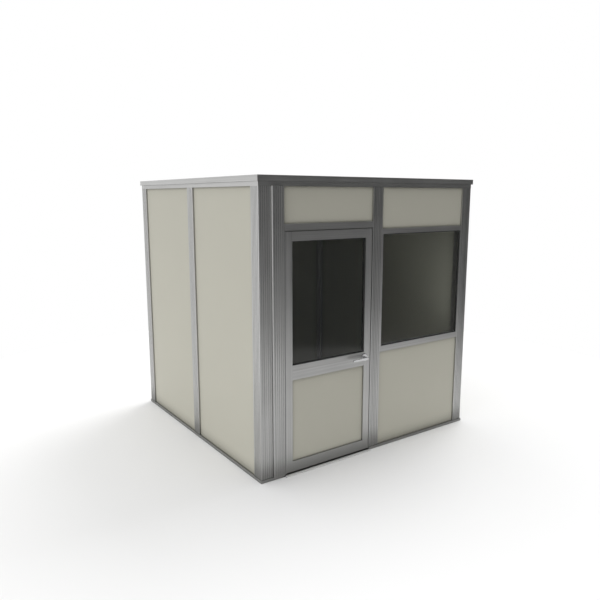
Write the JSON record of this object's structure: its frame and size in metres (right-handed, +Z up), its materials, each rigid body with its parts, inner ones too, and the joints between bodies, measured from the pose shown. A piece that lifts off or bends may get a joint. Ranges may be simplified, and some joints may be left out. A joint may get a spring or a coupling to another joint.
{
  "type": "modular in-plant office",
  "caption": "Square flat-roofed in-plant office of framed wall panels, with a part-glazed swing door and a fixed window side by side in the front wall.",
  "frame": {"origin": "on the floor, in the middle of the whole outline seen from above, lever handle included", "axes": "+Z up; -Y out of the front wall with the door and window; +X along the front wall from the door towards the window"},
  "size_m": [2.4632, 2.5068, 2.486],
  "materials": {
    "aluminium_extrusion": "satin mill-finish extrusion",
    "panel_facing": "matt vinyl facing, warm grey",
    "tinted_glass": "polished, grey tint",
    "deck_steel": "galvanised and painted",
    "hinge_steel": "brushed",
    "lever_chrome": "satin chrome",
    "threshold_metal": "mill-finish extrusion, worn bright",
    "seal_rubber": "matt black rubber glazing and door seals"
  },
  "bodies": {
    "room": {"left_floor_track": "aluminium_extrusion", "right_floor_track": "aluminium_extrusion", "back_floor_track": "aluminium_extrusion", "hinge_side_floor_track": "aluminium_extrusion", "window_side_floor_track": "aluminium_extrusion", "front_left_corner_post": "aluminium_extrusion", "front_right_corner_post": "aluminium_extrusion", "back_left_corner_post": "aluminium_extrusion", "back_right_corner_post": "aluminium_extrusion", "front_middle_post": "aluminium_extrusion", "left_middle_post": "aluminium_extrusion", "right_middle_post": "aluminium_extrusion", "back_middle_post": "aluminium_extrusion", "door_jamb_post": "aluminium_extrusion", "door_header": "aluminium_extrusion", "window_head_bar": "aluminium_extrusion", "window_sill_bar": "aluminium_extrusion", "window_frame": "aluminium_extrusion", "door_stop_frame": "aluminium_extrusion", "front_roof_edge": "aluminium_extrusion", "right_roof_edge": "aluminium_extrusion", "back_roof_edge": "aluminium_extrusion", "left_roof_edge": "aluminium_extrusion", "door_threshold": "threshold_metal", "left_front_panel": "panel_facing", "left_rear_panel": "panel_facing", "right_front_panel": "panel_facing", "right_rear_panel": "panel_facing", "back_left_panel": "panel_facing", "back_right_panel": "panel_facing", "transom_panel": "panel_facing", "window_head_panel": "panel_facing", "window_lower_panel": "panel_facing", "window_glass": "tinted_glass", "roof_deck": "deck_steel", "hinge_jamb_leaf": "hinge_steel", "hinge_pin": "hinge_steel"},
    "door_leaf": {"door_hinge_stile": "aluminium_extrusion", "door_latch_stile": "aluminium_extrusion", "door_top_rail": "aluminium_extrusion", "door_lock_rail": "aluminium_extrusion", "door_bottom_rail": "aluminium_extrusion", "door_glass": "tinted_glass", "door_panel": "panel_facing", "hinge_door_leaf": "hinge_steel", "lock_roses": "lever_chrome"},
    "lever": {"lever_handle": "lever_chrome"}
  },
  "joints": [
    {"name": "door_swing", "type": "hinge", "parent": "room", "child": "door_leaf", "pos_m": [-0.9846, -1.2037, 0], "axis": [0, 0, -1], "range_deg": [0, 110]},
    {"name": "lever_turn", "type": "hinge", "parent": "door_leaf", "child": "lever", "pos_m": [-0.13015, -1.1752, 0.9], "axis": [0, -1, 0], "range_deg": [0, 45], "stiffness_Nm_per_rad": 1.5, "springref_deg": -34.38}
  ]
}
